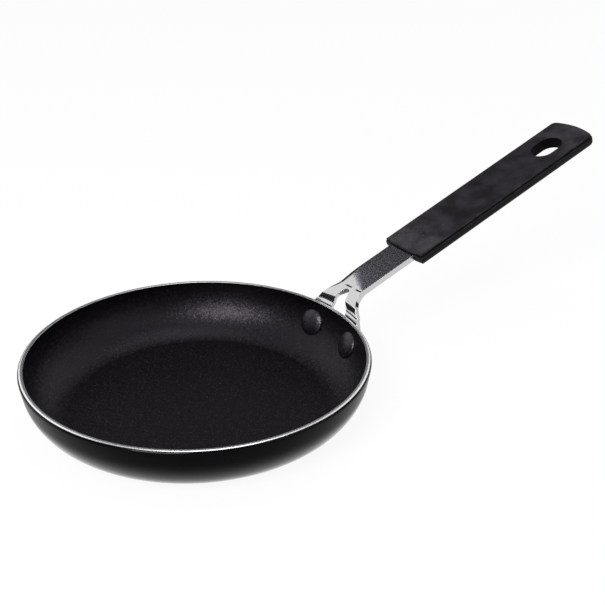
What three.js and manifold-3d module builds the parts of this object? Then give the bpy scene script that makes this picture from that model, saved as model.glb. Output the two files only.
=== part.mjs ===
// Egg pan: a small pressed frying pan with a forked strap handle, two rivets and a slip-on grip.
// Millimetres, +Z up. The origin is the centre of the flat base, and the handle runs along +X.

import * as THREE from 'three';
import { mergeVertices } from 'three/addons/utils/BufferGeometryUtils.js';
import Module from 'manifold-3d';

const { degToRad, lerp } = THREE.MathUtils;

// Pan
const rimRadius = 70; // outside of the lip
const panHeight = 22.8; // base to lip
const wallFlare = degToRad(9.5); // lean of the upper wall from upright
const cornerRadius = 20.1; // outside radius between base and wall
const sheetThickness = 2;
const lipChamfer = 0.35;

// Handle strap
const strapWidth = 15;
const strapThickness = 2.6;
const strapSlope = degToRad(19.8); // rise of the strap from level
const bendInside = 5.1; // radius of the bend, on the strap's lower face
const bendStart = 4.05; // height above the lip where the legs begin to bend

// Fork at the pan end of the strap
const slotTop = 8.7; // top of the slot above the lip
const slotRadius = 3; // rounded top of the slot
const slotHalfWidth = 5.6; // pull of the slot's side curve, at lip level
const legHalfSpread = 16.5; // pull of a leg's outer curve, at lip level
const padRadius = 7; // round foot about each rivet
const padJoin = degToRad(30); // where a leg's outer curve runs into the pad, above its middle

// Rivets
const rivetAngle = degToRad(11.2); // each side of the handle, about the pan's axis
const rivetDrop = 10.6; // from the lip down to the middle of a head, on the inner wall
const shankRadius = 2.5;
const headRadius = 6;
const headHeight = 1.4;
const tailHeadRadius = 4.6;
const tailHeadHeight = 1.8;

// Grip sleeve
const gripStart = 29.3; // from the bend to the sleeve's mouth
const gripLength = 109.9;
const gripSide = 3.6; // sleeve beside the pocket, at the mouth
const gripWidening = 1; // how much wider the far end is than the mouth
const gripRoof = 1; // sleeve over the pocket
const gripFloor = 1.2; // sleeve under the pocket
const gripEdge = 0.9; // rounding of the sleeve's edges
const mouthBulge = 0.8; // how far the mouth bows towards the pan
const endBulge = 2.4; // how far the far end bows outwards
const endCorner = 0.3; // rounding of the far corners, beyond that of the edges
const holeLength = 17.5;
const holeWidth = 11.6;
const holeFromEnd = 20.5; // middle of the hanging hole to the far end
const tailWall = 9.5; // sleeve left whole between the pocket and the hanging hole

// Clearances
const seatGap = 0.3; // pan wall to foot, and rivet heads to what they clamp
const rivetGap = 0.3; // shank to its holes, all round
const pocketGap = 0.4; // strap tail to the sleeve's pocket, all round
const cutReach = 2; // how far a cut runs past what it cuts

// Facets
const turnSegments = 96;
const arcSegments = 10;
const rivetSegments = 20;
const curveSegments = 10;
const edgeSegments = 3;
const domeSegments = 5;

const wasm = await Module();
wasm.setup();

// A closed geometry as a solid that can be joined and cut.
function solidOf(geometry) {
  geometry.deleteAttribute('normal');
  geometry.deleteAttribute('uv');
  const merged = mergeVertices(geometry);
  const corners = Array.from(merged.index.array);
  const triVerts = [];
  for (let i = 0; i < corners.length; i += 3) {
    const triangle = corners.slice(i, i + 3);
    if (new Set(triangle).size === triangle.length) {
      triVerts.push(...triangle);
    }
  }
  return new wasm.Manifold(new wasm.Mesh({
    numProp: 3,
    vertProperties: new Float32Array(merged.attributes.position.array),
    triVerts: new Uint32Array(triVerts),
  }));
}

// A solid as a geometry again.
function geometryOf(solid) {
  const { vertProperties, triVerts } = solid.getMesh();
  const geometry = new THREE.BufferGeometry();
  geometry.setAttribute('position', new THREE.BufferAttribute(vertProperties, 3));
  geometry.setIndex(new THREE.BufferAttribute(triVerts, 1));
  geometry.computeVertexNormals();
  return geometry;
}

// A profile of (radius, height) points turned about the Z axis.
function turned(profile, segments) {
  return new THREE.LatheGeometry(profile, segments).rotateX(Math.PI / 2);
}

function arcPoints(centre, radius, fromAngle, toAngle) {
  const points = [];
  for (let i = 0; i <= arcSegments; i += 1) {
    const angle = lerp(fromAngle, toAngle, i / arcSegments);
    const spoke = new THREE.Vector2(Math.cos(angle), Math.sin(angle));
    points.push(spoke.multiplyScalar(radius).add(centre));
  }
  return points;
}

// The pan's wall: a flat base, a corner arc and a straight flare up to the lip.
const flareUp = new THREE.Vector2(Math.sin(wallFlare), Math.cos(wallFlare));
const flareOut = new THREE.Vector2(Math.cos(wallFlare), -Math.sin(wallFlare));
const flareRise = panHeight - cornerRadius * (1 - Math.sin(wallFlare));
const baseRadius = rimRadius - cornerRadius * Math.cos(wallFlare) - flareRise * Math.tan(wallFlare);
const cornerCentre = new THREE.Vector2(baseRadius, cornerRadius);

// The wall's outside moved outwards by an offset, from the edge of the base up to a height.
function wallPath(offset, top) {
  const path = arcPoints(cornerCentre, cornerRadius + offset, -Math.PI / 2, -wallFlare);
  const flareStart = path[path.length - 1];
  path.push(flareStart.clone().addScaledVector(flareUp, (top - flareStart.y) / flareUp.y));
  return path;
}

// A closed ring between two offsets of the wall.
function wallRing(innerOffset, outerOffset, top) {
  const outer = wallPath(outerOffset, top);
  const inner = wallPath(innerOffset, top).reverse();
  return solidOf(turned([...outer, ...inner, outer[0]], turnSegments));
}

function panDish() {
  const lipWidth = sheetThickness / Math.cos(wallFlare);
  const profile = [
    new THREE.Vector2(0, 0),
    ...wallPath(0, panHeight - lipChamfer),
    new THREE.Vector2(rimRadius - lipChamfer, panHeight),
    new THREE.Vector2(rimRadius - lipWidth + lipChamfer, panHeight),
    ...wallPath(-sheetThickness, panHeight - lipChamfer).reverse(),
    new THREE.Vector2(0, sheetThickness),
  ];
  return solidOf(turned(profile, turnSegments));
}

// Sizes of the sleeve and of the strap inside it, which follow from the pocket.
const gripTop = pocketGap + gripRoof;
const gripThickness = gripRoof + gripFloor + strapThickness + 2 * pocketGap;
const gripWidthFront = strapWidth + 2 * (pocketGap + gripSide);
const gripWidthEnd = gripWidthFront + gripWidening;
const pocketLength = gripLength - holeFromEnd - holeLength / 2 - tailWall;
const strapLength = gripStart + pocketLength - pocketGap;

// The strap from the side: up the wall, over a bend and along the slope to its tail.
const bendRadius = bendInside + strapThickness;
const strapAlong = new THREE.Vector2(Math.cos(strapSlope), Math.sin(strapSlope));
const strapUp = new THREE.Vector2(-Math.sin(strapSlope), Math.cos(strapSlope));
const legTop = wallPath(seatGap, panHeight + bendStart).pop();
const bendCentre = legTop.clone().addScaledVector(flareOut, bendRadius);
const bendEnd = bendCentre.clone().addScaledVector(strapUp, bendRadius);

// One face of the strap, at a depth below its upper face, from the foot to the tail.
function strapFace(depth) {
  const leg = wallPath(seatGap + depth, panHeight).slice(0, -1);
  const bend = arcPoints(bendCentre, bendRadius - depth, Math.PI - wallFlare, Math.PI / 2 + strapSlope);
  const tail = bend[bend.length - 1].clone().addScaledVector(strapAlong, strapLength);
  return [...leg, ...bend, tail];
}

// Rivet axes pass through the centre of the corner arc, square to the wall.
const rivetTilt = Math.asin((cornerRadius - panHeight + rivetDrop) / (cornerRadius - sheetThickness));
const headSeat = cornerRadius - sheetThickness - seatGap;
const tailSeat = cornerRadius + seatGap + strapThickness + seatGap;

// Puts a geometry made along a rivet's axis on the wall, at one side of the handle.
function onWall(geometry, side) {
  geometry.rotateY(Math.PI / 2 + rivetTilt);
  geometry.translate(cornerCentre.x, 0, cornerCentre.y);
  return geometry.rotateZ(side * rivetAngle);
}

function rivetBar(radius, from, to, side) {
  const bar = new THREE.CylinderGeometry(radius, radius, to - from, rivetSegments);
  bar.rotateX(Math.PI / 2).translate(0, 0, (from + to) / 2);
  return solidOf(onWall(bar, side));
}

function rivetHole(side) {
  return rivetBar(shankRadius + rivetGap, headSeat - headHeight, tailSeat + tailHeadHeight, side);
}

// A rivet: a domed head inside the pan, a shank, and a smaller formed head outside the foot.
function rivet(side) {
  const headDome = new THREE.Path().absellipse(
    0, headSeat, headRadius, headHeight, -Math.PI / 2, 0).getPoints(domeSegments);
  const tailDome = new THREE.Path().absellipse(
    0, tailSeat, tailHeadRadius, tailHeadHeight, 0, Math.PI / 2).getPoints(domeSegments);
  const waist = (headSeat + tailSeat) / 2;
  const spool = [
    ...headDome,
    new THREE.Vector2(headRadius, waist),
    new THREE.Vector2(tailHeadRadius, waist),
    ...tailDome,
  ];
  const clamped = wallRing(headSeat - cornerRadius, tailSeat - cornerRadius, panHeight);
  const heads = solidOf(onWall(turned(spool, rivetSegments), side)).subtract(clamped);
  const shank = rivetBar(shankRadius, headSeat - headHeight / 2, tailSeat + tailHeadHeight / 2, side);
  return heads.add(shank);
}

// Half of the fork and strap as seen from the pan: (sideways, height) from the slot's top round to the tail.
function forkHalf() {
  const padCentre = cornerRadius + seatGap + strapThickness / 2;
  const padSide = (baseRadius + padCentre * Math.cos(rivetTilt)) * Math.sin(rivetAngle);
  const padHeight = cornerRadius - padCentre * Math.sin(rivetTilt);
  const joinSide = padSide + padRadius * Math.cos(padJoin);
  const joinHeight = padHeight + padRadius * Math.sin(padJoin);
  const slotCentre = panHeight + slotTop - slotRadius;
  const strapEdge = strapWidth / 2;
  const half = new THREE.Path();
  half.absarc(0, slotCentre, slotRadius, Math.PI / 2, 0, true);
  half.quadraticCurveTo(slotHalfWidth, panHeight, padSide - padRadius, padHeight);
  half.absarc(padSide, padHeight, padRadius, Math.PI, 2 * Math.PI + padJoin, false);
  half.bezierCurveTo(
    legHalfSpread, panHeight, strapEdge, panHeight + bendStart, strapEdge, bendEnd.y);
  half.lineTo(strapEdge, bendEnd.y + strapLength);
  return half.getPoints(curveSegments);
}

// The strap: its side profile turned about the pan's axis, so that the feet follow the wall, then trimmed
// to the fork's outline and drilled for the rivets.
function strap() {
  const outside = strapFace(strapThickness);
  const band = solidOf(turned([...outside, ...strapFace(0).reverse(), outside[0]], turnSegments));
  const half = forkHalf();
  const mirrored = half.map((point) => new THREE.Vector2(-point.x, point.y)).reverse();
  const outline = new THREE.Shape([...half, ...mirrored.slice(0, -1)]);
  const reach = bendEnd.x + strapLength;
  const trim = new THREE.ExtrudeGeometry(outline, { depth: reach, bevelEnabled: false });
  const sideways = new THREE.Vector3(0, 1, 0);
  const upwards = new THREE.Vector3(0, 0, 1);
  const along = new THREE.Vector3(1, 0, 0);
  trim.applyMatrix4(new THREE.Matrix4().makeBasis(sideways, upwards, along));
  return band.intersect(solidOf(trim)).subtract(rivetHole(-1)).subtract(rivetHole(1));
}

// The sleeve's outline from above, with its mouth at 0 and its far end at gripLength.
function gripOutline() {
  const front = gripWidthFront / 2;
  const end = gripWidthEnd / 2;
  const cornerLeg = endCorner + Math.SQRT2 * gripEdge;
  const archEdge = end - cornerLeg;
  const archStart = gripLength - endBulge * (archEdge / end) ** 2;
  const corner = gripLength - endBulge;
  const outline = new THREE.Shape();
  outline.moveTo(mouthBulge, -front);
  outline.lineTo(corner - cornerLeg, -end);
  outline.quadraticCurveTo(corner, -end, archStart, -archEdge);
  outline.quadraticCurveTo(2 * gripLength - archStart, 0, archStart, archEdge);
  outline.quadraticCurveTo(corner, end, corner - cornerLeg, end);
  outline.lineTo(mouthBulge, front);
  outline.quadraticCurveTo(-mouthBulge, 0, mouthBulge, -front);
  return outline;
}

function hangingHole() {
  const radius = holeWidth / 2;
  const straight = holeLength / 2 - radius;
  const slot = new THREE.Shape();
  slot.absarc(straight, 0, radius, -Math.PI / 2, Math.PI / 2, false);
  slot.absarc(-straight, 0, radius, Math.PI / 2, 1.5 * Math.PI, false);
  const hole = new THREE.ExtrudeGeometry(slot, {
    depth: gripThickness + 2 * cutReach,
    bevelEnabled: false,
    curveSegments,
  });
  return solidOf(hole.translate(gripLength - holeFromEnd, 0, gripTop - gripThickness - cutReach));
}

// The sleeve in the handle's own frame: X from the mouth along the strap, Z up from the strap's upper face.
function grip() {
  const block = new THREE.ExtrudeGeometry(gripOutline(), {
    depth: gripThickness - 2 * gripEdge,
    bevelThickness: gripEdge,
    bevelSize: gripEdge,
    bevelOffset: -gripEdge,
    bevelSegments: edgeSegments,
    curveSegments,
  });
  block.translate(0, 0, gripTop - gripThickness + gripEdge);
  const pocket = new THREE.BoxGeometry(
    pocketLength + cutReach, strapWidth + 2 * pocketGap, strapThickness + 2 * pocketGap);
  pocket.translate((pocketLength - cutReach) / 2, 0, -strapThickness / 2);
  return solidOf(block).subtract(solidOf(pocket)).subtract(hangingHole());
}

const coatedAluminium = new THREE.MeshStandardMaterial({ color: '#17161a', roughness: 0.5, metalness: 0.2 });
const polishedSteel = new THREE.MeshStandardMaterial({ color: '#c9cacc', roughness: 0.2, metalness: 1 });
const coatedRivet = new THREE.MeshStandardMaterial({ color: '#1e1d20', roughness: 0.45, metalness: 0.2 });
const mattePlastic = new THREE.MeshStandardMaterial({ color: '#262428', roughness: 0.75, metalness: 0 });

function piece(name, solid, material) {
  const mesh = new THREE.Mesh(geometryOf(solid), material);
  mesh.name = name;
  return mesh;
}

const eggPan = new THREE.Group();
eggPan.add(piece('pan_body', panDish().subtract(rivetHole(-1)).subtract(rivetHole(1)), coatedAluminium));
eggPan.add(piece('handle_strap', strap(), polishedSteel));
eggPan.add(piece('rivet_left', rivet(1), coatedRivet));
eggPan.add(piece('rivet_right', rivet(-1), coatedRivet));

const gripFrame = new THREE.Group();
gripFrame.position.set(bendEnd.x, 0, bendEnd.y);
gripFrame.rotation.y = -strapSlope;
const sleeve = piece('grip_sleeve', grip(), mattePlastic);
sleeve.position.x = gripStart;
gripFrame.add(sleeve);
eggPan.add(gripFrame);

export default eggPan;
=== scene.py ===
import math

import bmesh
import bpy
from mathutils import Matrix, Vector


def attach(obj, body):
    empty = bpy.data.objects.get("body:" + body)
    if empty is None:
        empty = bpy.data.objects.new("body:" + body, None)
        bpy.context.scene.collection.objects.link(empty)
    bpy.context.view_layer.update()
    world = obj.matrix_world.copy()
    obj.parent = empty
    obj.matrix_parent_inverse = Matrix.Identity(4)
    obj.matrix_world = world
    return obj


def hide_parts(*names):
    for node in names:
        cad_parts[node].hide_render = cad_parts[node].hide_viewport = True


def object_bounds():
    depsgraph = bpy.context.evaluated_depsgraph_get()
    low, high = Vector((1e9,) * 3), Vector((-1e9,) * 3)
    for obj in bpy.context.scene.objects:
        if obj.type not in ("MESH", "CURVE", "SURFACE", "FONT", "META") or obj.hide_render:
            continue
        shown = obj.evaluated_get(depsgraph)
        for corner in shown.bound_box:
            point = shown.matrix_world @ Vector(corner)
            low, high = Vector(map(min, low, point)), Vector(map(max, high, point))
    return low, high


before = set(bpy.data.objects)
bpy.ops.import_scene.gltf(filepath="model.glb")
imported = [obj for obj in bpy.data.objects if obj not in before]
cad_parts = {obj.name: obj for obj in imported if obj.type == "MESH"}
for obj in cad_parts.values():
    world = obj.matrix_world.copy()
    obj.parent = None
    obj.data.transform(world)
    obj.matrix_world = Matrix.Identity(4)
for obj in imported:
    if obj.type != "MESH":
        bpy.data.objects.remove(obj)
cadLow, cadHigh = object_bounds()
scene = bpy.context.scene
scene.view_settings.view_transform = "Standard"
mm = 0.001
print("frame loaded")


# Camera, at the photograph's viewing angle, in mm and degrees
cameraView = dict(place=(-185.4, -345.3, 237.5), heading=34.42, pitch=26.175, lens=66.36)


def setCamera():
    lens = bpy.data.cameras.new("viewCamera")
    lens.lens = cameraView["lens"]
    viewer = bpy.data.objects.new("viewCamera", lens)
    viewer.location = Vector(cameraView["place"]) * mm
    tilt, turn = math.radians(90 - cameraView["pitch"]), -math.radians(cameraView["heading"])
    viewer.rotation_euler = (tilt, 0, turn)
    scene.collection.objects.link(viewer)
    scene.camera = viewer


setCamera()
print("camera set")


# Small helpers for meshes
mergeReach = 0.004 * mm
edgeTurn = 60  # an edge that turns by more degrees than this gets rounded
edgeSegments = 4


def closeSeams(bm):
    bmesh.ops.remove_doubles(bm, verts=bm.verts, dist=mergeReach)
    bmesh.ops.recalc_face_normals(bm, faces=bm.faces)


def finishPiece(name, bm, materials, sharpAngle):
    closeSeams(bm)
    for face in bm.faces:
        face.smooth = True
    for edge in bm.edges:
        if edge.is_manifold:
            edge.smooth = edge.calc_face_angle() < math.radians(sharpAngle)
    mesh = bpy.data.meshes.new(name)
    bm.to_mesh(mesh)
    bm.free()
    for material in materials:
        mesh.materials.append(material)
    piece = bpy.data.objects.new(name, mesh)
    scene.collection.objects.link(piece)
    return piece


def dress(piece, node):
    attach(piece, "root")
    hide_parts(node)


def sharpEdges(bm):
    limit = math.radians(edgeTurn)
    return [edge for edge in bm.edges if edge.is_manifold and edge.calc_face_angle() > limit]


def roundEdges(bm, edges, offset):
    bmesh.ops.bevel(bm, geom=edges, offset=offset * mm, affect="EDGES", segments=edgeSegments,
                    profile=0.5, material=-1)


def flattenShading(piece):  # broad faces stay flat beside their rounded edges
    piece.modifiers.new("faceNormals", "WEIGHTED_NORMAL").keep_sharp = True


def clamp(share):
    return min(1.0, max(0.0, share))


def halfChord(radius, away):  # half width of a circle at a distance from its centre
    return math.sqrt(max(radius ** 2 - away ** 2, 0))


def quarterTurn(steps):  # angles from 0 to 90 degrees
    return [math.radians(90 * step / steps) for step in range(steps + 1)]


def arc(centre, radius, start, end, steps):  # points in the XZ plane, angles in degrees
    points = []
    for step in range(steps + 1):
        angle = math.radians(start + (end - start) * step / steps)
        across, up = radius * math.cos(angle), radius * math.sin(angle)
        points.append(Vector((centre[0] + across, 0, centre[1] + up)))
    return points


def bezier(points, share):
    while len(points) > 1:
        points = [start.lerp(end, share) for start, end in zip(points, points[1:])]
    return points[0]


def spinProfile(bm, points, steps):  # turned about the Z axis
    verts = [bm.verts.new(point * mm) for point in points]
    edges = [bm.edges.new(pair) for pair in zip(verts, verts[1:])]
    bmesh.ops.spin(bm, geom=verts + edges, cent=(0, 0, 0), axis=(0, 0, 1), angle=2 * math.pi,
                   steps=steps, use_merge=True)


# Small helpers for materials
whole = (0.0, 1.0)


def newMaterial(name, **values):
    material = bpy.data.materials.new(name)
    material.use_nodes = True
    shader = material.node_tree.nodes["Principled BSDF"]
    for socket, value in values.items():
        shader.inputs[socket.replace("_", " ")].default_value = value
    return material, material.node_tree, shader


def feed(tree, node, **sources):  # links into a node's named sockets
    for socket, source in sources.items():
        tree.links.new(source, node.inputs[socket.replace("_", " ")])


def addNode(tree, kind, inputs=None, **settings):
    made = tree.nodes.new(kind)
    for name, value in settings.items():
        setattr(made, name, value)
    for socket, value in (inputs or {}).items():
        if isinstance(value, bpy.types.NodeSocket):
            tree.links.new(value, made.inputs[socket])
        else:
            made.inputs[socket].default_value = value
    return made


def mixColour(tree, mask, dark, light):
    mix = addNode(tree, "ShaderNodeMix", data_type="RGBA")
    tree.links.new(mask, mix.inputs["Factor"])
    for socket, colour in ((6, dark), (7, light)):  # the sockets A and B for colours
        if isinstance(colour, bpy.types.NodeSocket):
            tree.links.new(colour, mix.inputs[socket])
        else:
            mix.inputs[socket].default_value = (*colour, 1)
    return mix.outputs[2]  # the result as a colour


def spread(tree, value, fromRange=whole, toRange=whole):
    inputs = {"Value": value, "From Min": fromRange[0], "From Max": fromRange[1],
              "To Min": toRange[0], "To Max": toRange[1]}
    return addNode(tree, "ShaderNodeMapRange", inputs).outputs["Result"]


def combine(tree, operation, first, second):
    return addNode(tree, "ShaderNodeMath", {0: first, 1: second}, operation=operation).outputs[0]


def vectorMath(tree, operation, inputs):
    return addNode(tree, "ShaderNodeVectorMath", inputs, operation=operation).outputs[0]


def noise(tree, place, scale, detail):
    inputs = {"Vector": place, "Scale": scale, "Detail": detail}
    return addNode(tree, "ShaderNodeTexNoise", inputs).outputs["Fac"]


def objectPlace(tree):
    return addNode(tree, "ShaderNodeTexCoord").outputs["Object"]


def upwardFacing(tree):  # from -1 for a face that looks down to 1 for one that looks up
    normal = addNode(tree, "ShaderNodeNewGeometry").outputs["Normal"]
    return addNode(tree, "ShaderNodeSeparateXYZ", {"Vector": normal}).outputs["Z"]


def newGroup(name, inputs, outputs):
    group = bpy.data.node_groups.new(name, "ShaderNodeTree")
    for socket in inputs:
        group.interface.new_socket(socket, in_out="INPUT", socket_type="NodeSocketFloat")
    for socket, kind in outputs.items():
        group.interface.new_socket(socket, in_out="OUTPUT", socket_type=kind)
    return group, group.nodes.new("NodeGroupInput"), group.nodes.new("NodeGroupOutput")


def useGroup(tree, group, **values):
    made = addNode(tree, "ShaderNodeGroup", node_tree=group)
    for socket, value in values.items():
        made.inputs[socket].default_value = value
    return made.outputs


# Sprayed non-stick coat: pale flecks, a fine grain, and cells that each lean a little
fleckLook = dict(dotRange=(0.45, 0.2), grain=1100.0, grainDetail=3.0, grainRange=(0.3, 0.7))


def fleckGroup():
    group, start, end = newGroup("fleckedCoat", ("Cells", "Share", "Lean"),
                                 {"Fleck": "NodeSocketFloat", "Grain": "NodeSocketFloat",
                                  "Normal": "NodeSocketVector"})
    given, place = start.outputs, objectPlace(group)
    cells = addNode(group, "ShaderNodeTexVoronoi", {"Vector": place, "Scale": given["Cells"]})
    dots = spread(group, cells.outputs["Distance"], fleckLook["dotRange"])
    colour = cells.outputs["Color"]
    tint = addNode(group, "ShaderNodeSeparateColor", {"Color": colour}).outputs["Red"]
    fleck = combine(group, "MULTIPLY", dots, combine(group, "LESS_THAN", tint, given["Share"]))
    grain = noise(group, place, fleckLook["grain"], fleckLook["grainDetail"])
    sway = vectorMath(group, "SUBTRACT", {0: colour, 1: (0.5, 0.5, 0.5)})  # to both sides of zero
    lean = vectorMath(group, "SCALE", {0: sway, "Scale": given["Lean"]})
    face = addNode(group, "ShaderNodeNewGeometry").outputs["Normal"]
    tilted = vectorMath(group, "ADD", {0: face, 1: lean})
    feed(group, end, Fleck=fleck, Grain=grain, Normal=vectorMath(group, "NORMALIZE", {0: tilted}))
    return group


# Cloudy tone and fine dust of handled surfaces
handledLook = dict(cloudDetail=5.0, cloudRange=(0.37, 0.63), dustDetail=2.0, dustRange=(0.6, 0.78))


def mottleGroup():
    group, start, end = newGroup("handledSurface", ("Clouds", "Dust"),
                                 {"Mottle": "NodeSocketFloat", "Dust": "NodeSocketFloat"})
    look, place = handledLook, objectPlace(group)
    clouds = noise(group, place, start.outputs["Clouds"], look["cloudDetail"])
    specks = noise(group, place, start.outputs["Dust"], look["dustDetail"])
    feed(group, end, Mottle=spread(group, clouds, look["cloudRange"]),
         Dust=spread(group, specks, look["dustRange"]))
    return group


flecks = fleckGroup()
handled = mottleGroup()
print("shared effects made")


# Coats of the pan and the rivets
liningCoat = dict(dark=(0.0013, 0.0008, 0.0016), pale=(0.036, 0.031, 0.04), cells=2000.0,
                  share=0.07, lean=0.18, roughness=(0.36, 0.48), specular=0.27,
                  tint=(0.96, 0.87, 1, 1))
rivetCoat = dict(dark=(0.0012, 0.0009, 0.0016), pale=(0.03, 0.027, 0.034), cells=2000.0,
                 share=0.1, lean=0.2, roughness=(0.32, 0.42), specular=0.6,
                 tint=(0.95, 0.89, 1, 1))
outerCoat = dict(dark=(0.0006, 0.0004, 0.0007), pale=(0.0014, 0.001, 0.0016), clouds=40.0,
                 roughness=(0.24, 0.32), specular=0.03, glossRough=0.1, gloss=0.015,
                 slantGloss=0.9, slantRange=(0.22, 0.8), highShare=0.1, lowRange=(-0.12, -0.42),
                 edgeGloss=0.2, edgeRange=(0.0, 0.3))
bareLip = dict(dark=(0.8, 0.8, 0.82), pale=(0.95, 0.95, 0.97), roughness=(0.22, 0.34),
               ringWidth=0.7)  # mm
waveFactor = 20  # by which the wave texture multiplies its scale


def fleckedCoat(name, coat):
    material, tree, shader = newMaterial(name, Specular_IOR_Level=coat["specular"],
                                         Specular_Tint=coat["tint"])
    surface = useGroup(tree, flecks, Cells=coat["cells"], Share=coat["share"], Lean=coat["lean"])
    tone = mixColour(tree, surface["Fleck"], coat["dark"], coat["pale"])
    rough = spread(tree, surface["Grain"], fleckLook["grainRange"], coat["roughness"])
    feed(tree, shader, Base_Color=tone, Roughness=rough, Normal=surface["Normal"])
    return material


def glossCoat(name, coat):  # glossy aslant on the lower wall and a little on the rounded edge
    material, tree, shader = newMaterial(name, Specular_IOR_Level=coat["specular"],
                                         Coat_Roughness=coat["glossRough"])
    mottle = useGroup(tree, handled, Clouds=coat["clouds"])["Mottle"]
    tone = mixColour(tree, mottle, coat["dark"], coat["pale"])
    rough = spread(tree, mottle, whole, coat["roughness"])
    rise = upwardFacing(tree)
    aslant = addNode(tree, "ShaderNodeLayerWeight").outputs["Facing"]
    low = spread(tree, rise, coat["lowRange"], (coat["highShare"], 1.0))
    slant = spread(tree, aslant, coat["slantRange"], (coat["gloss"], coat["slantGloss"]))
    edge = spread(tree, rise, coat["edgeRange"], (coat["gloss"], coat["edgeGloss"]))
    gloss = combine(tree, "MAXIMUM", combine(tree, "MULTIPLY", low, slant), edge)
    feed(tree, shader, Base_Color=tone, Roughness=rough, Coat_Weight=gloss)
    return material


def turnedMetal(name, coat):  # fine rings left by turning
    material, tree, shader = newMaterial(name, Metallic=1.0)
    scale = 2 * math.pi / (waveFactor * coat["ringWidth"] * mm)
    rings = addNode(tree, "ShaderNodeTexWave", {"Vector": objectPlace(tree), "Scale": scale},
                    wave_type="RINGS", rings_direction="Z").outputs["Fac"]
    tone = mixColour(tree, rings, coat["dark"], coat["pale"])
    feed(tree, shader, Base_Color=tone, Roughness=spread(tree, rings, whole, coat["roughness"]))
    return material


def mottledFinish(name, dark, pale, clouds, **values):  # plain, with a cloudy tone
    material, tree, shader = newMaterial(name, **values)
    mottle = useGroup(tree, handled, Clouds=clouds)["Mottle"]
    feed(tree, shader, Base_Color=mixColour(tree, mottle, dark, pale))
    return material


# Pan dish: one spun profile with a lining, a bare rounded lip and an outer coat, in mm and degrees
panSize = dict(rimRadius=70, height=23.1, flare=9.5, corner=20.1, sheet=1.2, floorLean=9,
               beadHeight=1.9, lipRound=1.6, lipInner=27, lipOuter=42, lipEdge=0.9, bareLean=30,
               cornerSteps=24, lipSteps=12, edgeSteps=8, spinSteps=192, sharpAngle=60,
               floorRings=(0, 12, 24, 36, 46, 51.5))
lipSlot, coatSlot = 1, 2  # material slots, after 0 for the lining


def wallCorner():  # centre of the corner arc
    flare = math.radians(panSize["flare"])
    rise = panSize["height"] - panSize["corner"] * (1 - math.sin(flare))
    reach = panSize["rimRadius"] - panSize["corner"] * math.cos(flare) - rise * math.tan(flare)
    return reach, panSize["corner"]


def wallPoints(offset, top, steps):  # from the edge of the base up to a height
    points = arc(wallCorner(), panSize["corner"] + offset, -90, -panSize["flare"], steps)
    rise = top - points[-1].z
    spreadOut = math.tan(math.radians(panSize["flare"])) * rise
    points.append(points[-1] + Vector((spreadOut, 0, rise)))
    return points


def insidePoints(top):  # the floor turns up with a visible edge
    size = panSize
    flare, lean = math.radians(size["flare"]), math.radians(size["floorLean"])
    wall = wallPoints(-size["sheet"], top, 1)
    end = wall[1]
    radius = (end.z - size["sheet"]) / (math.cos(lean) - math.sin(flare))
    centre = (end.x - radius * math.cos(flare), end.z + radius * math.sin(flare))
    turn = arc(centre, radius, size["floorLean"] - 90, -size["flare"], size["cornerSteps"])
    return turn + wall[2:]


def lipPoints():  # from the inner edge over the crown to the outer wall
    size = panSize
    flare, outer = math.radians(size["flare"]), math.radians(size["lipOuter"])
    spare = size["lipRound"] - size["lipEdge"]
    crownHeight = size["height"] - size["lipRound"]
    edgeHeight = crownHeight + spare * math.cos(outer)
    wallHeight = edgeHeight - size["lipEdge"] * math.sin(flare)
    wallReach = size["rimRadius"] - (size["height"] - wallHeight) * math.tan(flare)
    edgeReach = wallReach - size["lipEdge"] * math.cos(flare)
    crownCentre = (edgeReach - spare * math.sin(outer), crownHeight)
    join = 90 - size["lipOuter"]  # where the crown meets the tighter outer edge
    crown = arc(crownCentre, size["lipRound"], 90 + size["lipInner"], join, size["lipSteps"])
    edge = arc((edgeReach, edgeHeight), size["lipEdge"], join, -size["flare"], size["edgeSteps"])
    return crown + edge[1:]


def makePan(materials):
    size = panSize
    inside = insidePoints(size["height"] - size["beadHeight"])
    lip = lipPoints()
    outside = wallPoints(0, lip[-1].z, size["cornerSteps"])
    floorPoints = [Vector((radius, 0, size["sheet"])) for radius in size["floorRings"]]
    basePoints = [Vector((radius, 0, 0)) for radius in size["floorRings"][-2::-1]]
    bm = bmesh.new()
    spinProfile(bm, floorPoints + inside + lip + outside[-2::-1] + basePoints, size["spinSteps"])
    closeSeams(bm)
    for face in bm.faces:
        middle = face.calc_center_median()
        outwards = face.normal.xy.dot(middle.xy.normalized())
        lean = math.degrees(math.atan2(outwards, face.normal.z))
        if lean > size["bareLean"]:
            face.material_index = coatSlot  # also over the lip's outer edge
        elif middle.z > lip[0].z * mm or lean > size["lipInner"]:
            face.material_index = lipSlot
    return finishPiece("panDish", bm, materials, size["sharpAngle"])


panDish = makePan([fleckedCoat("liningCoat", liningCoat), turnedMetal("bareLip", bareLip),
                   glossCoat("outerCoat", outerCoat)])
dress(panDish, "pan_body")
print("pan dish made")


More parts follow.
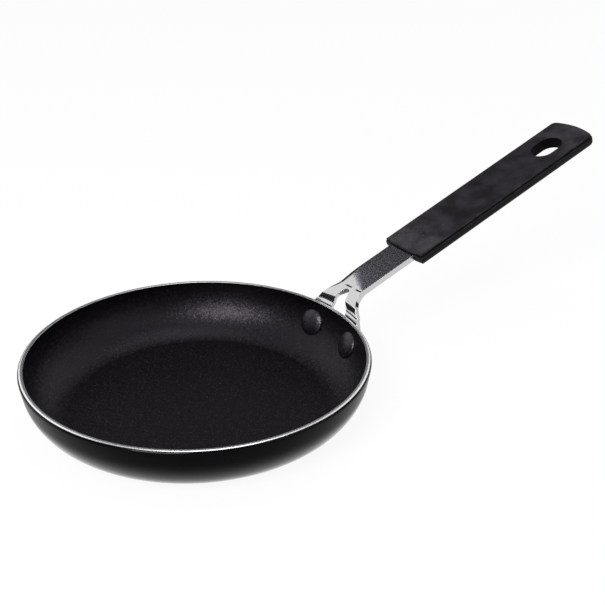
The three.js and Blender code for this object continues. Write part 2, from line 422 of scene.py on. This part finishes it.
# Forked strap: half of its upper face as a grid, mirrored, then given its thickness
strapSize = dict(width=15.6, thickness=2.6, legThickness=1.6, slope=19.8, bendInside=5.1,
                 bendHeight=26.85, cadSeat=0.3, seat=0.1, kneeRise=1.3, kneeOut=0.65, legLean=3,
                 foldLean=11.8, foldRound=4.5, creaseAlong=0.2, easeAngle=6.4, easeLeft=11,
                 easeRight=0.5, easePower=5, creaseDashes=((-7.3, -3.6), (-0.9, 3.2)),
                 creaseHalf=0.3, creaseDepth=0.25, edge=0.1, rimDrop=0.2, slotTop=8.5,
                 slotRadius=3, slotWall=3.2, slotPull=5.6, legPulls=((17.0, -2.1), (11.5, 4.4)),
                 padRadius=7, padJoin=30, rivetAngle=11.2, rivetDrop=10.2, across=8,
                 wallSteps=40, bendSteps=14, footTurns=range(12, 90, 6), legRows=36,
                 crownTurns=range(0, 90, 6), bendRows=4,
                 easeStations=(0.3, 0.7, 1.2, 1.8, 2.5, 3.3, 4.2, 5.2, 6.3, 7.4, 8.4, 9.4, 10.2,
                               11),
                 tailStep=4, tailEnd=101, wallFacing=0.5, topFacing=0.3, sharpAngle=50)
steelFinish = dict(bright=(0.58, 0.58, 0.58), dark=(0.39, 0.38, 0.47), pale=(0.92, 0.89, 1.0),
                   # crease: dark steel as painted shade in the crease dashes
                   crease=((0.03, 0.03, 0.035), (0.08, 0.08, 0.09)),
                   # punched: dull punched wall, its darker steel is painted shade
                   punchedShade=((0.16, 0.16, 0.17), (0.26, 0.26, 0.27)),
                   streak=(1.3, 0.65, 0.65), streakDetail=3.0, streakRange=(0.36, 0.64),
                   topRange=(0.5, 0.9), speck=0.035, polished=0.08, brushed=0.19, wedge=0.54,
                   fade=(1.5, 5.5))  # lengths in mm
dullSteel = dict(clouds=400.0, Metallic=1.0, Roughness=0.5)  # painted shade: dark dull steel in the crease and on punched walls
creaseShadeSlot, punchedShadeSlot = 1, 2  # material slots, after 0 for the polished steel
halvings = 40  # of a search along a curve
placeDigits = 7  # that tell one vertex's place from another's


def sidewaysAt(points, height):  # sideways place of a rising or falling curve at a height
    low, high = whole
    falling = points[0].y > points[-1].y
    for _ in range(halvings):
        middle = (low + high) / 2
        if (bezier(points, middle).y > height) == falling:
            low = middle
        else:
            high = middle
    return bezier(points, (low + high) / 2).x


def rivetTilt():
    rise = panSize["corner"] - panSize["height"] + strapSize["rivetDrop"]
    return math.asin(rise / (panSize["corner"] - panSize["sheet"]))


class Fork:
    def __init__(self):
        size = strapSize
        flare, slope = math.radians(panSize["flare"]), math.radians(size["slope"])
        lean, rise = math.radians(size["legLean"]), math.radians(size["slope"] + size["foldLean"])
        self.slope = slope
        self.twist = math.radians(size["easeAngle"])
        self.lip = panSize["height"]
        self.along = Vector((math.cos(slope), 0, math.sin(slope)))
        self.up = Vector((-math.sin(slope), 0, math.cos(slope)))
        outwards = Vector((math.cos(flare), 0, -math.sin(flare)))
        cadTop = wallPoints(size["cadSeat"], size["bendHeight"], 1)[-1]
        bendOutside = size["bendInside"] + size["thickness"]
        self.start = cadTop + (outwards + self.up) * bendOutside  # of the straight strap
        self.crease = self.start + self.along * size["creaseAlong"] - self.up * self.drop(0)
        padReach = panSize["corner"] + size["seat"] + size["thickness"] / 2
        turn, join = math.radians(size["rivetAngle"]), math.radians(size["padJoin"])
        self.padSide = (wallCorner()[0] + padReach * math.cos(rivetTilt())) * math.sin(turn)
        self.padHeight = panSize["corner"] - padReach * math.sin(rivetTilt())
        wall = wallPoints(size["seat"], self.lip, size["wallSteps"])
        knee = wall[-1] + Vector((size["kneeOut"], 0, size["kneeRise"]))  # a step over the lip
        legLine = Vector((math.sin(lean), 0, math.cos(lean)))
        legFace = Vector((-math.cos(lean), 0, math.sin(lean)))
        foldLine = Vector((math.cos(rise), 0, math.sin(rise)))
        foldFace = Vector((-math.sin(rise), 0, math.cos(rise)))
        rest = self.crease - knee - (foldFace - legFace) * size["foldRound"]
        climb = rest.cross(foldLine).y / legLine.cross(foldLine).y
        self.bendFoot = knee + legLine * climb
        centre = self.bendFoot - legFace * size["foldRound"]
        bend = arc((centre.x, centre.z), size["foldRound"], 180 - size["legLean"],
                   90 + size["slope"] + size["foldLean"], size["bendSteps"])
        self.profile = wall + [knee] + bend + [self.crease]  # the upper face, seen from the side
        self.slotCentre = self.lip + size["slotTop"] - size["slotRadius"]
        self.join = Vector((self.padSide + size["padRadius"] * math.cos(join),
                            self.padHeight + size["padRadius"] * math.sin(join)))
        self.innerCurve = [Vector((size["slotRadius"], self.slotCentre)),
                           Vector((size["slotPull"], self.lip)),
                           Vector((self.padSide - size["padRadius"], self.padHeight))]
        pulls = [Vector((side, self.lip + above)) for side, above in size["legPulls"]]
        self.outerCurve = [self.join, *pulls, Vector((size["width"] / 2, self.crease.z))]

    def easeLength(self, side):  # the bend runs out later on the left
        share = 0.5 + side / strapSize["width"]
        return strapSize["easeRight"] + (strapSize["easeLeft"] - strapSize["easeRight"]) * share

    def drop(self, side, past=0.0):  # the turn stays nearly even, then runs out quickly
        length, power = self.easeLength(side), strapSize["easePower"]
        share = min(1.0, past / length)
        return self.twist * length * (1 - share - (1 - share ** power) / power)

    def bendShare(self, height):  # 0 at the foot of the bend, 1 at the crease
        return (height - self.bendFoot.z) / (self.crease.z - self.bendFoot.z)

    def sink(self, point):  # how far the upper face lies below its plain form near the crease
        size = strapSize
        past, share = (point - self.crease).dot(self.along), self.bendShare(point.z)
        if past > size["creaseHalf"] / 2:
            depth = self.drop(point.y, past)
        else:
            depth = (self.drop(point.y) - self.drop(0)) * max(0.0, share)
        if share > 0 and point.y > self.outer(point.z) - mergeReach / mm:
            depth += size["rimDrop"] * min(1.0, share)  # the left edge is rolled down
        if self.onDash(point.y):
            depth += size["creaseDepth"] * max(0.0, 1 - abs(past) / size["creaseHalf"])
        return depth

    def onDash(self, side):
        return any(low < side < high for low, high in strapSize["creaseDashes"])

    def thickness(self, height):  # the legs are thinner than the strap
        leg = strapSize["legThickness"]
        return leg + (strapSize["thickness"] - leg) * clamp(self.bendShare(height))

    def inner(self, height):
        if height < self.padHeight:
            return self.padSide - halfChord(strapSize["padRadius"], height - self.padHeight)
        if height < self.slotCentre:
            return sidewaysAt(self.innerCurve, height)
        return halfChord(strapSize["slotRadius"], height - self.slotCentre)

    def outer(self, height):
        if height < self.join.y:
            return self.padSide + halfChord(strapSize["padRadius"], height - self.padHeight)
        if height < self.crease.z:
            return sidewaysAt(self.outerCurve, height)
        return strapSize["width"] / 2

    def reach(self, height):  # distance of the upper face from the pan's axis, up to the crease
        for low, high in zip(self.profile, self.profile[1:]):
            if height <= high.z:
                return low.x + (high.x - low.x) * (height - low.z) / (high.z - low.z)
        return self.crease.x

    def heights(self):  # stations from the foot to the crease, closer where the outline turns
        size = strapSize
        pad, slot, rows = size["padRadius"], size["slotRadius"], size["legRows"]
        foot = [self.padHeight - pad * math.cos(math.radians(turn)) for turn in size["footTurns"]]
        legRise = self.slotCentre - self.padHeight
        leg = [self.padHeight + legRise * step / rows for step in range(rows)]
        turns = [math.radians(turn) for turn in size["crownTurns"]]
        crown = [self.slotCentre + slot * math.sin(turn) for turn in turns]
        top = self.slotCentre + slot
        foldRise = math.sin(math.radians(size["slope"] + size["foldLean"]))
        bendRise = self.crease.z - size["creaseHalf"] * foldRise - top
        bend = [top + bendRise * step / size["bendRows"] for step in range(size["bendRows"] + 1)]
        return foot + leg + crown + bend + [self.crease.z]

    def stations(self):  # (reach, height, inner side, outer side, share of the wall's roundness)
        made = []
        for height in self.heights():
            share = clamp(1 - self.bendShare(height))
            made.append((self.reach(height), height, self.inner(height), self.outer(height), share))
        size = strapSize
        lineStart = self.crease + self.up * self.drop(0)
        tail = range(int(size["easeLeft"]) + size["tailStep"], size["tailEnd"], size["tailStep"])
        for past in [*size["easeStations"], *tail]:
            point = lineStart + self.along * past
            made.append((point.x, point.z, 0.0, size["width"] / 2, 0.0))
        return made


fork = Fork()


def makeStrap(materials):
    size, stations = strapSize, fork.stations()
    rows = len(stations) - 1
    bm = bmesh.new()
    bmesh.ops.create_grid(bm, x_segments=size["across"], y_segments=rows, size=1)
    for vert in bm.verts:
        share = (vert.co.x + 1) / 2
        reach, height, inner, outer, roundness = stations[round((vert.co.y + 1) / 2 * rows)]
        side = inner + (outer - inner) * share
        turned = math.sqrt(reach ** 2 - side ** 2)
        vert.co = Vector((reach + (turned - reach) * roundness, side, height)) * mm
    bmesh.ops.mirror(bm, geom=bm.verts[:] + bm.edges[:] + bm.faces[:], axis="Y",
                     merge_dist=mergeReach)
    closeSeams(bm)
    for vert in bm.verts:
        vert.co -= fork.up * fork.sink(vert.co / mm) * mm
    bmesh.ops.recalc_face_normals(bm, faces=bm.faces)
    tail = max(bm.faces, key=lambda face: face.calc_center_median().x)
    if tail.normal.z < 0:
        bmesh.ops.reverse_faces(bm, faces=bm.faces)
    bm.normal_update()
    facing = {vert.co.to_tuple(placeDigits): vert.normal.copy() for vert in bm.verts}
    grown = bmesh.ops.extrude_face_region(bm, geom=bm.faces[:], use_keep_orig=True)["geom"]
    for vert in [part for part in grown if isinstance(part, bmesh.types.BMVert)]:
        depth = fork.thickness(vert.co.z / mm)
        vert.co -= facing[vert.co.to_tuple(placeDigits)] * depth * mm
    bmesh.ops.recalc_face_normals(bm, faces=bm.faces)
    for face in bm.faces:  # the punched wall at the top of the slot is dull, and darker as painted shade
        middle = face.calc_center_median() / mm
        onCrown = fork.slotCentre < middle.z < fork.crease.z and abs(middle.y) < size["slotWall"]
        if onCrown and abs(face.normal.dot(fork.up)) < size["wallFacing"]:
            face.material_index = punchedShadeSlot
    roundEdges(bm, sharpEdges(bm), size["edge"])
    # painted shade: faces on the crease dashes get dark dull steel
    for face in bm.faces:
        middle = face.calc_center_median() / mm
        inCrease = abs((middle - fork.crease).dot(fork.along)) < size["creaseHalf"]
        if inCrease and face.normal.z > size["topFacing"] and fork.onDash(middle.y):
            face.material_index = creaseShadeSlot
    strap = finishPiece("forkStrap", bm, materials, size["sharpAngle"])
    flattenShading(strap)
    return strap


def polishedSteel(finish):  # bright on the fork, brushed and specked along the strap
    material, tree, shader = newMaterial("polishedSteel", Metallic=1.0)
    place = objectPlace(tree)
    lengths = [length * mm for length in finish["streak"]]
    turned = addNode(tree, "ShaderNodeMapping", {"Vector": place, "Rotation": (0, -fork.slope, 0),
                                                 "Scale": lengths}, vector_type="TEXTURE")
    streaks = noise(tree, turned.outputs["Vector"], 1.0, finish["streakDetail"])
    axes = addNode(tree, "ShaderNodeSeparateXYZ", {"Vector": place}).outputs
    slanted = {0: axes["Y"], 1: -finish["wedge"], 2: axes["X"]}  # bright for longer on the left
    past = addNode(tree, "ShaderNodeMath", slanted, operation="MULTIPLY_ADD").outputs[0]
    brushed = spread(tree, past, [(fork.crease.x + length) * mm for length in finish["fade"]])
    grain = mixColour(tree, spread(tree, streaks, finish["streakRange"]), finish["dark"],
                      finish["pale"])
    onTop = spread(tree, upwardFacing(tree), finish["topRange"])
    grained = combine(tree, "MULTIPLY", brushed, onTop)
    tone = mixColour(tree, grained, finish["bright"], grain)
    rough = spread(tree, brushed, whole, (finish["polished"], finish["brushed"]))
    height = combine(tree, "MULTIPLY", streaks, brushed)
    bump = addNode(tree, "ShaderNodeBump", {"Height": height, "Strength": 1.0,
                                            "Distance": finish["speck"] * mm})
    feed(tree, shader, Base_Color=tone, Roughness=rough, Normal=bump.outputs["Normal"])
    return material


# the crease and punched-wall materials are dark dull steel, painted shade
forkStrap = makeStrap([polishedSteel(steelFinish),
                       mottledFinish("creaseShadeSteel", *steelFinish["crease"], **dullSteel),
                       mottledFinish("punchedShadeSteel", *steelFinish["punchedShade"], **dullSteel)])
dress(forkStrap, "handle_strap")
print("fork strap made")


# Rivets: a domed head inside the wall, a shank and a formed head outside
rivetSize = dict(shank=2.5, head=6, headDome=1.9, tail=4.6, tailDome=1.8, seat=0.3, bury=0.5,
                 domeSteps=12, spinSteps=64, sharpAngle=50)


def makeRivet(name, side, materials):
    size = rivetSize
    inner = panSize["corner"] - panSize["sheet"]
    outer = panSize["corner"] + strapSize["seat"] + strapSize["thickness"]
    headEdge = inner - size["seat"]
    headFoot, tailFoot = inner + size["bury"], outer - size["bury"]
    turns = quarterTurn(size["domeSteps"])
    points = [(size["head"] * math.sin(turn), headEdge - size["headDome"] * math.cos(turn))
              for turn in turns]  # from the head's crown to its edge
    points += [(size["head"], headFoot), (size["shank"], headFoot),
               (size["shank"], tailFoot), (size["tail"], tailFoot)]
    points += [(size["tail"] * math.cos(turn), outer + size["tailDome"] * math.sin(turn))
               for turn in turns]  # from the formed end's edge to its crown
    bm = bmesh.new()
    spinProfile(bm, [Vector((radius, 0, along)) for radius, along in points], size["spinSteps"])
    lean = Matrix.Rotation(math.pi / 2 + rivetTilt(), 4, "Y")
    centre = wallCorner()
    place = Matrix.Translation(Vector((centre[0], 0, centre[1])) * mm)
    turn = Matrix.Rotation(side * math.radians(strapSize["rivetAngle"]), 4, "Z")
    bmesh.ops.transform(bm, matrix=turn @ place @ lean, verts=bm.verts)
    return finishPiece(name, bm, materials, size["sharpAngle"])


rivetFinish = fleckedCoat("rivetCoat", rivetCoat)
rivetLeft = makeRivet("rivetLeft", 1, [rivetFinish])
rivetRight = makeRivet("rivetRight", -1, [rivetFinish])
dress(rivetLeft, "rivet_left")
dress(rivetRight, "rivet_right")
print("rivets made")


# Grip sleeve: stacked outlines bridged into a body, then its pocket and hanging hole cut
gripSize = dict(start=29.3, length=109.9, widthFront=24.65, widthEnd=25.15, aside=-0.62, top=1.4,
                thickness=5.6, lowerRound=2.6, upperRound=0.4, ledgeDrop=1.25, ledge=0.4,
                ledgeFall=0.15, mouthBulge=0.8, endBulge=2.4, endCorner=2, holeLength=15.7,
                holeWidth=11.0, holeFromEnd=20.1, holeSide=0.02, holeRound=0.3, holeEdge=0.5,
                holeWall=1, pocketWidth=15.8, pocketHeight=3.4, pocketLength=71.1, cutReach=2,
                edgeRise=(0.1, 0.99), ledgeRise=0.5, wallRise=0.3, roundSteps=5, archSteps=10,
                sideSteps=30, holeSteps=24, sharpAngle=35)
# the side tone is painted shade on the sides; the edge tone is a painted highlight on the top edges
# and ledge; the deep tone is painted shade on the hole wall and groove
gripFinish = dict(sideShadeTone=(0.0012, 0.0009, 0.0014), dark=(0.0048, 0.0039, 0.0056),
                  pale=(0.0185, 0.016, 0.0205), frontDark=(0.014, 0.0125, 0.015),
                  handled=(0.042, 0.039, 0.044), speck=(0.08, 0.07, 0.085),
                  edgeHighlightTone=(0.022, 0.02, 0.0235), wallShadeTone=(0.0006, 0.0004, 0.0008),
                  specular=0.14, deepSpecular=0.05, roughness=(0.6, 0.78), clouds=120.0,
                  dust=1100.0, bump=0.3, bumpDepth=0.1, topRange=(0.6, 0.9),
                  mouthFade=(4.0, 26.0), endFade=(84.0, 98.0), endShare=0.5)
mouldedWall = dict(clouds=200.0, Roughness=0.6)
edgeHighlightSlot, shadeWallSlot = 1, 2  # material slots, after 0 for the plain moulding: a painted edge highlight, then painted shade


def gripOutline(inset):  # closed outline from above, moved inwards
    size = gripSize
    halfFront, halfEnd = size["widthFront"] / 2, size["widthEnd"] / 2
    front, end = halfFront - inset, halfEnd - inset
    corner, arches, sides = size["endCorner"], size["archSteps"], size["sideSteps"]

    def farArch(side):
        return size["length"] - inset - size["endBulge"] * (side / halfEnd) ** 2

    points = []
    for step in range(2 * arches + 1):  # mouth, from left to right
        side = front * (1 - step / arches)
        points.append(Vector((size["mouthBulge"] * (side / halfFront) ** 2 + inset, side)))
    straightEnd = Vector((farArch(end) - corner, -end))
    archStart = Vector((farArch(end - corner), -(end - corner)))
    mouthEnd = points[-1]
    for step in range(1, sides):
        points.append(mouthEnd.lerp(straightEnd, step / sides))
    tip = Vector((farArch(end), -end))
    for step in range(arches):
        points.append(bezier([straightEnd, tip, archStart], step / arches))
    for step in range(2 * arches + 1):  # far end, from right to left
        side = (end - corner) * (step / arches - 1)
        points.append(Vector((farArch(side), side)))
    straightEnd = Vector((straightEnd.x, end))
    archStart = Vector((archStart.x, end - corner))
    tip = Vector((farArch(end), end))
    for step in range(1, arches + 1):
        points.append(bezier([archStart, tip, straightEnd], step / arches))
    for step in range(1, sides):
        points.append(straightEnd.lerp(points[0], step / sides))
    return points


def addLoop(bm, points, height):
    verts = [bm.verts.new(Vector((point.x, point.y, height)) * mm) for point in points]
    return [bm.edges.new(pair) for pair in zip(verts, verts[1:] + verts[:1])]


def slotLoop(middle, side, length, width, steps):
    straight = (length - width) / 2
    points = []
    for end, start in ((1, -90), (-1, 90)):
        for step in range(steps + 1):
            angle = math.radians(start + 180 * step / steps)
            points.append(Vector((middle + end * straight + math.cos(angle) * width / 2,
                                  side + math.sin(angle) * width / 2)))
    return points


def stackLoops(bm, levels):  # closed body through (outline, height) pairs
    loops = [addLoop(bm, points, height) for points, height in levels]
    for lower, upper in zip(loops, loops[1:]):
        bmesh.ops.bridge_loops(bm, edges=lower + upper)
    bmesh.ops.contextual_create(bm, geom=loops[0])
    bmesh.ops.contextual_create(bm, geom=loops[-1])


def cutWith(piece, bm):
    bmesh.ops.recalc_face_normals(bm, faces=bm.faces)
    mesh = bpy.data.meshes.new("cutter")
    bm.to_mesh(mesh)
    bm.free()
    cutter = bpy.data.objects.new("cutter", mesh)
    scene.collection.objects.link(cutter)
    cut = piece.modifiers.new("cut", "BOOLEAN")
    cut.operation = "DIFFERENCE"
    cut.solver = "EXACT"
    cut.object = cutter
    shaped = piece.evaluated_get(bpy.context.evaluated_depsgraph_get())
    mesh = bpy.data.meshes.new_from_object(shaped)
    piece.modifiers.clear()
    piece.data = mesh
    bpy.data.objects.remove(cutter)


def gripLevels():  # (inset, height) from the underside to the top
    size = gripSize
    top, bottom = size["top"], size["top"] - size["thickness"]
    lower, upper = size["lowerRound"], size["upperRound"]
    ledge = top - size["ledgeDrop"]
    turns = quarterTurn(size["roundSteps"])
    levels = [(lower * (1 - math.sin(turn)), bottom + lower * (1 - math.cos(turn)))
              for turn in turns]
    levels += [(0.0, ledge - size["ledgeFall"]), (size["ledge"], ledge)]
    levels += [(size["ledge"] + upper * (1 - math.cos(turn)), top - upper * (1 - math.sin(turn)))
               for turn in turns]
    return levels


def fromHole(point):  # distance outside the hanging hole's outline, in mm
    size = gripSize
    straight = (size["holeLength"] - size["holeWidth"]) / 2
    away = max(0.0, abs(point.x / mm - size["length"] + size["holeFromEnd"]) - straight)
    return math.hypot(away, point.y / mm - size["holeSide"]) - size["holeWidth"] / 2


def makeGrip(materials):
    size = gripSize
    top, bottom = size["top"], size["top"] - size["thickness"]
    bm = bmesh.new()
    stackLoops(bm, [(gripOutline(inset), height) for inset, height in gripLevels()])
    block = finishPiece("gripBlock", bm, materials, size["sharpAngle"])

    hole = slotLoop(size["length"] - size["holeFromEnd"], size["holeSide"], size["holeLength"],
                    size["holeWidth"], size["holeSteps"])
    bm = bmesh.new()
    stackLoops(bm, [(hole, bottom - size["cutReach"]), (hole, top + size["cutReach"])])
    cutWith(block, bm)

    bm = bmesh.new()
    bmesh.ops.create_cube(bm, size=mm)
    pocket = (size["pocketLength"] * 2, size["pocketWidth"], size["pocketHeight"])
    bmesh.ops.scale(bm, vec=pocket, verts=bm.verts)
    strapMiddle = Vector((0, -size["aside"], -strapSize["thickness"] / 2)) * mm
    bmesh.ops.translate(bm, verts=bm.verts, vec=strapMiddle)
    cutWith(block, bm)

    bm = bmesh.new()
    bm.from_mesh(block.data)
    bpy.data.objects.remove(block)
    rims = [edge for edge in sharpEdges(bm) if fromHole(edge.verts[0].co) < size["holeEdge"]]
    roundEdges(bm, rims, size["holeRound"])
    ledge, shoulder = top - size["ledgeDrop"], top - size["upperRound"]
    flattest, steepest = size["edgeRise"][1], size["edgeRise"][0]
    for face in bm.faces:  # paler top edges and ledge are a painted highlight; the darker hole wall and groove are painted shade
        middle = face.calc_center_median()
        height, rise = middle.z / mm, face.normal.z
        upright = abs(rise) < size["wallRise"]
        onTopEdge = height > shoulder and steepest < rise < flattest
        onLedge = ledge - size["ledgeFall"] < height < ledge and rise > size["ledgeRise"]
        if fromHole(middle) < size["holeWall"]:
            face.material_index = shadeWallSlot if upright else 0
        elif onTopEdge or onLedge:
            face.material_index = edgeHighlightSlot
        elif ledge < height < shoulder and upright:
            face.material_index = shadeWallSlot
    lean = Matrix.Rotation(-fork.slope, 4, "Y")
    place = Matrix.Translation(fork.start * mm)
    slide = Matrix.Translation(Vector((size["start"], size["aside"], 0)) * mm)
    bmesh.ops.transform(bm, matrix=place @ lean @ slide, verts=bm.verts)
    sleeve = finishPiece("gripSleeve", bm, materials, size["sharpAngle"])
    flattenShading(sleeve)
    return sleeve


def mouldedPlastic(finish):  # paler toward the mouth and the far end, where hands reach it, dusty near the mouth, and painted lighter on top than on the sides (painted light and shade)
    material, tree, shader = newMaterial("mouldedPlastic", Specular_IOR_Level=finish["specular"])
    surface = useGroup(tree, handled, Clouds=finish["clouds"], Dust=finish["dust"])
    mottle, dust = surface["Mottle"], surface["Dust"]
    plain = mixColour(tree, mottle, finish["dark"], finish["pale"])
    worn = mixColour(tree, mottle, finish["frontDark"], finish["handled"])
    along = addNode(tree, "ShaderNodeSeparateXYZ", {"Vector": objectPlace(tree)}).outputs["X"]
    lean = math.cos(fork.slope)
    mouth = fork.start.x + gripSize["start"] * lean
    front, end = [[(mouth + length * lean) * mm for length in finish[fade]]
                  for fade in ("mouthFade", "endFade")]
    nearMouth = spread(tree, along, front, (1.0, 0.0))
    nearEnd = spread(tree, along, end, (0.0, finish["endShare"]))
    top = mixColour(tree, combine(tree, "MAXIMUM", nearMouth, nearEnd), plain, worn)
    top = mixColour(tree, combine(tree, "MULTIPLY", dust, nearMouth), top, finish["speck"])
    # painted light: the top is lighter than the sides, whose tone is painted shade
    topLitShare = spread(tree, upwardFacing(tree), finish["topRange"])
    tone = mixColour(tree, topLitShare, finish["sideShadeTone"], top)
    bump = addNode(tree, "ShaderNodeBump", {"Height": dust, "Strength": finish["bump"],
                                            "Distance": finish["bumpDepth"] * mm})
    feed(tree, shader, Base_Color=tone, Roughness=spread(tree, dust, whole, finish["roughness"]),
         Normal=bump.outputs["Normal"])
    return material


# the second material is a painted edge highlight, the third painted shade on the hole wall and
# groove
gripSleeve = makeGrip([mouldedPlastic(gripFinish),
                       mottledFinish("paintedEdgeHighlight", gripFinish["dark"], gripFinish["edgeHighlightTone"],
                                     Specular_IOR_Level=gripFinish["specular"], **mouldedWall),
                       mottledFinish("paintedShadeWall", gripFinish["wallShadeTone"], gripFinish["sideShadeTone"],
                                     Specular_IOR_Level=gripFinish["deepSpecular"], **mouldedWall)])
dress(gripSleeve, "grip_sleeve")
print("grip sleeve made")


# Floor, world and lamps
floorLook = dict(half=6.0, paint=(0.9, 0.9, 0.9, 1), keep=0.08)  # keep: share of its own shading
worldLook = dict(front=(-0.45, -0.65, 0.61), fade=(-0.2, 1.0), tones=(0.03, 0.15))  # back to front
white = (1, 1, 1, 1)


def showsBackground(tree):  # 1 for rays from the camera, from metal and through glass
    path = addNode(tree, "ShaderNodeLightPath")
    seen = combine(tree, "MAXIMUM", path.outputs["Is Camera Ray"], path.outputs["Is Glossy Ray"])
    return combine(tree, "MAXIMUM", seen, path.outputs["Is Transmission Ray"])


def makeFloor():
    bm = bmesh.new()
    bmesh.ops.create_grid(bm, x_segments=1, y_segments=1, size=floorLook["half"])
    mesh = bpy.data.meshes.new("floor")
    bm.to_mesh(mesh)
    bm.free()
    material = bpy.data.materials.new("paleFloor")
    material.use_nodes = True
    tree = material.node_tree
    tree.nodes.remove(tree.nodes["Principled BSDF"])
    paint = addNode(tree, "ShaderNodeBsdfDiffuse", {"Color": floorLook["paint"]})
    glow = addNode(tree, "ShaderNodeEmission", {"Color": white, "Strength": 1.0})
    share = combine(tree, "MULTIPLY", showsBackground(tree), 1 - floorLook["keep"])
    mix = addNode(tree, "ShaderNodeMixShader", {0: share, 1: paint.outputs[0], 2: glow.outputs[0]})
    tree.links.new(mix.outputs[0], tree.nodes["Material Output"].inputs["Surface"])
    mesh.materials.append(material)
    floor = bpy.data.objects.new("floor", mesh)
    scene.collection.objects.link(floor)


def makeWorld():
    world = bpy.data.worlds.new("studio")
    scene.world = world
    world.use_nodes = True
    tree = world.node_tree
    room = tree.nodes["Background"]
    place = addNode(tree, "ShaderNodeTexCoord").outputs["Generated"]
    ahead = addNode(tree, "ShaderNodeVectorMath", {0: place, 1: worldLook["front"]},
                    operation="DOT_PRODUCT").outputs["Value"]
    feed(tree, room, Color=spread(tree, ahead, worldLook["fade"], worldLook["tones"]))
    backdrop = addNode(tree, "ShaderNodeBackground", {"Color": white, "Strength": 1.0})
    path = addNode(tree, "ShaderNodeLightPath")
    mix = addNode(tree, "ShaderNodeMixShader", {0: path.outputs["Is Camera Ray"],
                                                1: room.outputs[0], 2: backdrop.outputs[0]})
    tree.links.new(mix.outputs[0], tree.nodes["World Output"].inputs["Surface"])


lamps = [  # degrees about the object, metres and watts
    dict(name="keyLamp", azimuth=-149, elevation=38, distance=0.9, size=0.4, power=8.0),
    dict(name="topSoftbox", azimuth=55, elevation=80, distance=1.0, size=0.6, power=2.4),
    dict(name="backPanel", azimuth=121.4, elevation=25, distance=1.1, size=1.25, power=5.2),
    dict(name="sideFill", azimuth=-57, elevation=36, distance=1.0, size=1.0, power=2.4),
    dict(name="rearPanel", azimuth=14, elevation=27, distance=1.2, size=1.15, power=3.8),
    dict(name="dimPanel", azimuth=62, elevation=12, distance=1.2, size=0.6, power=0.23),
]


def addLamp(setting):
    light = bpy.data.lights.new(setting["name"], "AREA")
    light.shape = "SQUARE"
    light.size = setting["size"]
    light.energy = setting["power"]
    lamp = bpy.data.objects.new(setting["name"], light)
    azimuth, elevation = math.radians(setting["azimuth"]), math.radians(setting["elevation"])
    level = math.cos(elevation)
    towards = Vector((level * math.cos(azimuth), level * math.sin(azimuth), math.sin(elevation)))
    lamp.location = (cadLow + cadHigh) / 2 + towards * setting["distance"]
    lamp.rotation_euler = towards.to_track_quat("Z", "Y").to_euler()
    lamp.visible_camera = False
    scene.collection.objects.link(lamp)


makeFloor()
makeWorld()
for setting in lamps:
    addLamp(setting)
print("stage and lamps set")
